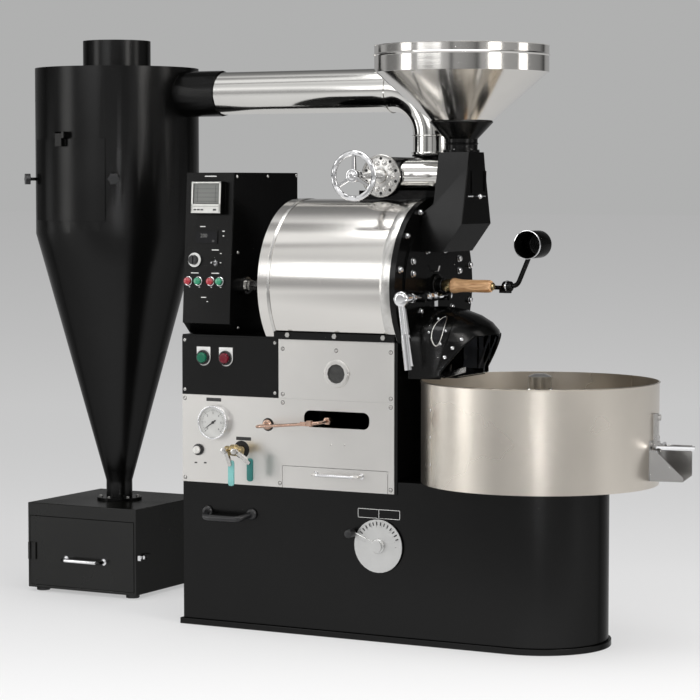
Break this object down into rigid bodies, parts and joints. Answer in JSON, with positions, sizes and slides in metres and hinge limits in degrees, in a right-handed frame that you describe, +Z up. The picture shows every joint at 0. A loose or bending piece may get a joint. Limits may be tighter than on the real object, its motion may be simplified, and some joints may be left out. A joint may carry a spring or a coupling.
{
  "type": "drum coffee roaster",
  "caption": "Floor-standing drum coffee roaster with feed hopper, discharge hood, round cooling tray with stirrer, gas panel, control console, exhaust damper, cyclone and chaff box.",
  "frame": {"origin": "on the floor, under the axis of the round cooling tray", "axes": "+X from the drum to the cooling tray and its outlet, +Y away from the operator, +Z up"},
  "size_m": [2.3269, 0.8982, 1.75],
  "materials": {
    "satin_black": "satin powder coat",
    "black_plastic": "satin",
    "brushed_stainless": "fine brushed",
    "polished_stainless": "polished",
    "chrome": "mirror chrome",
    "copper": "polished copper",
    "brass": "satin",
    "cast_iron": "as cast",
    "wood": "oiled",
    "white_plastic": "gloss",
    "green_plastic": "gloss",
    "red_plastic": "gloss",
    "teal_paint": "gloss",
    "dark_teal_paint": "gloss"
  },
  "bodies": {
    "machine": {"base_plinth": "satin_black", "base_cabinet": "satin_black", "burner_cabinet": "satin_black", "button_panel": "satin_black", "face_plate": "satin_black", "discharge_hood": "satin_black", "hopper_neck": "satin_black", "hopper_chute": "satin_black", "damper_housing": "satin_black", "cyclone_body": "satin_black", "chaff_box": "satin_black", "drive_housing": "satin_black", "base_handle": "black_plastic", "control_face": "black_plastic", "gas_panel": "brushed_stainless", "burner_panel": "brushed_stainless", "drum_jacket": "brushed_stainless", "cooling_tray": "brushed_stainless", "tray_floor": "brushed_stainless", "tray_outlet": "brushed_stainless", "hopper": "polished_stainless", "exhaust_tube": "polished_stainless", "exhaust_elbow": "polished_stainless", "exhaust_pipe": "polished_stainless", "pressure_gauge": "chrome", "rear_coupling": "chrome", "index_plate": "chrome", "copper_gas_pipe": "copper", "gas_valve": "brass", "burner": "cast_iron", "rear_bearing_plate": "cast_iron", "tray_motor": "cast_iron", "drive_motor": "cast_iron"},
    "cooling_fan": {"cooling_fan": "cast_iron"},
    "stirrer": {"stirrer": "polished_stainless"},
    "airflow_disc": {"airflow_disc": "brushed_stainless"},
    "gas_knob": {"gas_knob": "white_plastic"},
    "valve_handle_left": {"valve_handle_left": "teal_paint"},
    "valve_handle_right": {"valve_handle_right": "dark_teal_paint"},
    "ash_drawer": {"ash_drawer": "brushed_stainless"},
    "start_button": {"start_button": "green_plastic"},
    "stop_button": {"stop_button": "red_plastic"},
    "roasting_drum": {"roasting_drum": "cast_iron"},
    "damper_handwheel": {"damper_handwheel": "chrome"},
    "discharge_door": {"discharge_door": "chrome"},
    "trier": {"trier": "wood"},
    "inspection_lamp": {"inspection_lamp": "satin_black"},
    "hopper_gate": {"hopper_gate": "chrome"},
    "chaff_door": {"chaff_door": "satin_black"},
    "chaff_latch": {"chaff_latch": "chrome"},
    "cyclone_door": {"cyclone_door": "satin_black"},
    "star_knob_left": {"star_knob_left": "black_plastic"},
    "star_knob_right": {"star_knob_right": "black_plastic"},
    "selector_knob": {"selector_knob": "black_plastic"},
    "toggle_switch": {"toggle_switch": "chrome"},
    "console_button_1": {"console_button_1": "red_plastic"},
    "console_button_2": {"console_button_2": "green_plastic"},
    "console_button_3": {"console_button_3": "red_plastic"},
    "console_button_4": {"console_button_4": "green_plastic"},
    "tray_gate": {"tray_gate": "chrome"}
  },
  "joints": [
    {"name": "fan_spin", "type": "hinge", "parent": "machine", "child": "cooling_fan", "pos_m": [0, 0, 0.26], "axis": [0, 0, 1], "continuous": true},
    {"name": "stirrer_spin", "type": "hinge", "parent": "machine", "child": "stirrer", "pos_m": [0, 0, 0.6], "axis": [0, 0, 1], "continuous": true},
    {"name": "airflow_turn", "type": "hinge", "parent": "machine", "child": "airflow_disc", "pos_m": [-0.406, -0.2, 0.274], "axis": [0, 1, 0], "range_deg": [0, 60]},
    {"name": "gas_knob_turn", "type": "hinge", "parent": "machine", "child": "gas_knob", "pos_m": [-1.004, -0.2, 0.519], "axis": [0, 1, 0], "range_deg": [0, 270]},
    {"name": "valve_left_turn", "type": "hinge", "parent": "machine", "child": "valve_handle_left", "pos_m": [-0.873, -0.278, 0.528], "axis": [0, 1, 0], "range_deg": [0, 84]},
    {"name": "valve_right_turn", "type": "hinge", "parent": "machine", "child": "valve_handle_right", "pos_m": [-0.839, -0.278, 0.528], "axis": [0, -1, 0], "range_deg": [0, 84]},
    {"name": "ash_drawer_slide", "type": "slide", "parent": "machine", "child": "ash_drawer", "axis": [0, -1, 0], "range_m": [0, 0.25]},
    {"name": "start_press", "type": "slide", "parent": "machine", "child": "start_button", "axis": [0, 1, 0], "range_m": [0, 0.005], "stiffness_N_per_m": 300},
    {"name": "stop_press", "type": "slide", "parent": "machine", "child": "stop_button", "axis": [0, 1, 0], "range_m": [0, 0.005], "stiffness_N_per_m": 300},
    {"name": "drum_spin", "type": "hinge", "parent": "machine", "child": "roasting_drum", "pos_m": [-0.55, 0, 1.007], "axis": [1, 0, 0], "continuous": true},
    {"name": "damper_turn", "type": "hinge", "parent": "machine", "child": "damper_handwheel", "pos_m": [-0.486, -0.203, 1.32], "axis": [0, 1, 0], "range_deg": [0, 60]},
    {"name": "discharge_door_lift", "type": "hinge", "parent": "machine", "child": "discharge_door", "pos_m": [-0.306, -0.1, 0.978], "axis": [0, -1, 0], "range_deg": [0, 34]},
    {"name": "trier_slide", "type": "slide", "parent": "machine", "child": "trier", "axis": [1, 0, 0], "range_m": [0, 0.15]},
    {"name": "lamp_swing", "type": "hinge", "parent": "machine", "child": "inspection_lamp", "pos_m": [-0.122, 0.046, 1], "axis": [0, 0, 1], "range_deg": [-45, 45]},
    {"name": "feed_gate_slide", "type": "slide", "parent": "machine", "child": "hopper_gate", "axis": [1, 0, 0], "range_m": [0, 0.062]},
    {"name": "chaff_door_swing", "type": "hinge", "parent": "machine", "child": "chaff_door", "pos_m": [-1.8121, 0.0829, 0.16], "axis": [0, 0, -1], "range_deg": [0, 105]},
    {"name": "chaff_latch_turn", "type": "hinge", "parent": "machine", "child": "chaff_latch", "pos_m": [-1.41, 0.116, 0.13], "axis": [1, 0, 0], "range_deg": [0, 85]},
    {"name": "cyclone_door_swing", "type": "hinge", "parent": "machine", "child": "cyclone_door", "pos_m": [-1.64482, 0.02784, 1.449], "axis": [-0.9925, 0.1219, 0], "range_deg": [0, 70]},
    {"name": "star_left_turn", "type": "hinge", "parent": "machine", "child": "star_knob_left", "pos_m": [-1.81069, 0.10001, 1.312], "axis": [-0.7071, -0.7071, 0], "continuous": true},
    {"name": "star_right_turn", "type": "hinge", "parent": "machine", "child": "star_knob_right", "pos_m": [-1.46641, 0.05774, 1.312], "axis": [0.515, -0.8572, 0], "continuous": true},
    {"name": "selector_turn", "type": "hinge", "parent": "machine", "child": "selector_knob", "pos_m": [-1.022, -0.19323, 1.07513], "axis": [0, -0.998, 0.0635], "range_deg": [-120, 120]},
    {"name": "toggle_tip", "type": "hinge", "parent": "machine", "child": "toggle_switch", "pos_m": [-0.952, -0.18576, 1.06664], "axis": [1, 0, 0], "range_deg": [-15, 15]},
    {"name": "console_press_1", "type": "slide", "parent": "machine", "child": "console_button_1", "axis": [0, 0.998, -0.0635], "range_m": [0, 0.004], "stiffness_N_per_m": 200},
    {"name": "console_press_2", "type": "slide", "parent": "machine", "child": "console_button_2", "axis": [0, 0.998, -0.0635], "range_m": [0, 0.004], "stiffness_N_per_m": 200},
    {"name": "console_press_3", "type": "slide", "parent": "machine", "child": "console_button_3", "axis": [0, 0.998, -0.0635], "range_m": [0, 0.004], "stiffness_N_per_m": 200},
    {"name": "console_press_4", "type": "slide", "parent": "machine", "child": "console_button_4", "axis": [0, 0.998, -0.0635], "range_m": [0, 0.004], "stiffness_N_per_m": 200},
    {"name": "tray_gate_lift", "type": "hinge", "parent": "machine", "child": "tray_gate", "pos_m": [0.33736, 0.07171, 0.571], "axis": [0.2079, -0.9781, 0], "range_deg": [0, 55]}
  ]
}
